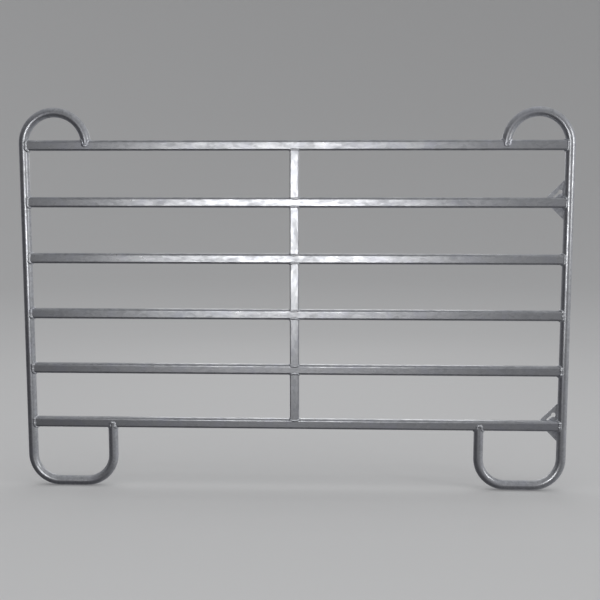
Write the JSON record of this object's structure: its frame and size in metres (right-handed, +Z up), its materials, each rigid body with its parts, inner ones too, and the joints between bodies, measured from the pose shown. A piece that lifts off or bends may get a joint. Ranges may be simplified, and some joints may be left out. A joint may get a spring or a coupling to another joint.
{
  "type": "livestock panel gate",
  "caption": "Free-standing livestock hurdle with box-tube rails between arched round side frames, a centre post and keyhole plates for a linking chain.",
  "frame": {"origin": "on the ground, in the middle of the width, in the plane of the tube centre lines", "axes": "+X to the panel's right seen from the front, where the chain plates are; +Y to the back, the side the chain plates are welded on; +Z up"},
  "size_m": [2.4, 0.0452, 1.6802],
  "materials": {
    "side_frame_zinc": "hot-dip galvanised, mottled satin",
    "box_tube_zinc": "hot-dip galvanised, mottled satin",
    "plate_zinc": "hot-dip galvanised, duller and rougher"
  },
  "bodies": {
    "root": {"left_side_frame": "side_frame_zinc", "right_side_frame": "side_frame_zinc", "top_rail": "box_tube_zinc", "second_rail": "box_tube_zinc", "third_rail": "box_tube_zinc", "fourth_rail": "box_tube_zinc", "fifth_rail": "box_tube_zinc", "bottom_rail": "box_tube_zinc", "post_length_1": "box_tube_zinc", "post_length_2": "box_tube_zinc", "post_length_3": "box_tube_zinc", "post_length_4": "box_tube_zinc", "post_length_5": "box_tube_zinc", "upper_chain_plate": "plate_zinc", "lower_chain_plate": "plate_zinc"}
  },
  "joints": []
}
